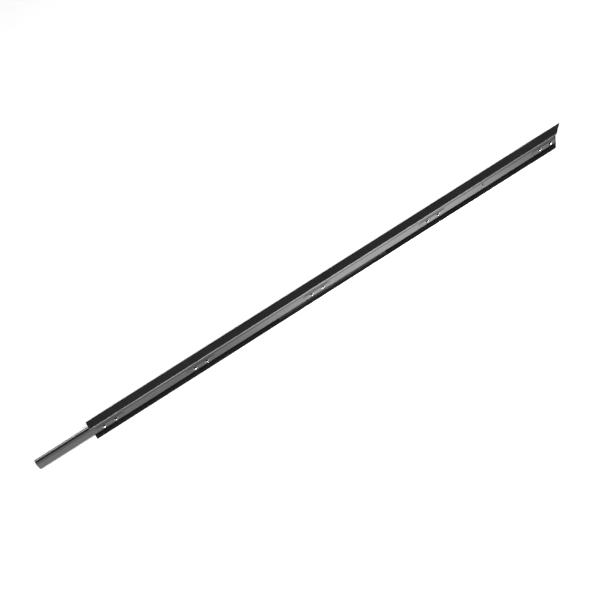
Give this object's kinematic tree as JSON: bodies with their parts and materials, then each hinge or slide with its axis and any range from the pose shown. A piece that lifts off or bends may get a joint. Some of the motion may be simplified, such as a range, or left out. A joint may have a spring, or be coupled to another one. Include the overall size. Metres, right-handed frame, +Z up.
{
  "type": "cabinet drawer slide",
  "caption": "Black steel ball-bearing drawer slide: a C-shaped cabinet rail, a narrower drawer rail that slides out past it on a ball cage, and raised screw pads.",
  "frame": {"origin": "middle of the cabinet member's back face, at mid height, halfway along its 650 mm nominal length", "axes": "+X along the slide towards the back of the cabinet, +Y out of the cabinet member's back face towards the cabinet side, +Z up"},
  "size_m": [0.7335, 0.012, 0.027],
  "materials": {
    "black_steel": "semi-gloss black coating over cold-rolled steel",
    "cage_steel": "blackened, oiled steel strip",
    "ball_steel": "polished bearing steel",
    "zinc_steel": "bright zinc plate",
    "black_plastic": "moulded, slightly rough"
  },
  "bodies": {
    "cabinet_member": {"cabinet_channel": "black_steel", "front_stop": "zinc_steel", "front_stop_rivet": "zinc_steel", "rear_bumper": "black_plastic"},
    "cage": {"ball_cage": "cage_steel", "ball_upper_01": "ball_steel", "ball_upper_02": "ball_steel", "ball_upper_03": "ball_steel", "ball_upper_04": "ball_steel", "ball_upper_05": "ball_steel", "ball_upper_06": "ball_steel", "ball_upper_07": "ball_steel", "ball_upper_08": "ball_steel", "ball_upper_09": "ball_steel", "ball_upper_10": "ball_steel", "ball_lower_01": "ball_steel", "ball_lower_02": "ball_steel", "ball_lower_03": "ball_steel", "ball_lower_04": "ball_steel", "ball_lower_05": "ball_steel", "ball_lower_06": "ball_steel", "ball_lower_07": "ball_steel", "ball_lower_08": "ball_steel", "ball_lower_09": "ball_steel", "ball_lower_10": "ball_steel"},
    "drawer_member": {"drawer_channel": "black_steel", "rear_end_block": "black_plastic", "lever_pivot_rivet": "zinc_steel"},
    "lever": {"release_lever": "black_plastic"}
  },
  "joints": [
    {"name": "drawer_slide", "type": "slide", "parent": "cabinet_member", "child": "drawer_member", "axis": [-1, 0, 0], "range_m": [0, 0.48]},
    {"name": "cage_slide", "type": "slide", "parent": "cabinet_member", "child": "cage", "axis": [-1, 0, 0], "range_m": [0, 0.24]},
    {"name": "release_lever_pivot", "type": "hinge", "parent": "drawer_member", "child": "lever", "pos_m": [0.11, -0.0068, 0.0022], "axis": [0, -1, 0], "range_deg": [0, 5], "stiffness_Nm_per_rad": 0.02, "springref_deg": -2.86}
  ],
  "couplings": [
    {"joint": "cage_slide", "follows": "drawer_slide", "ratio": 0.5}
  ]
}
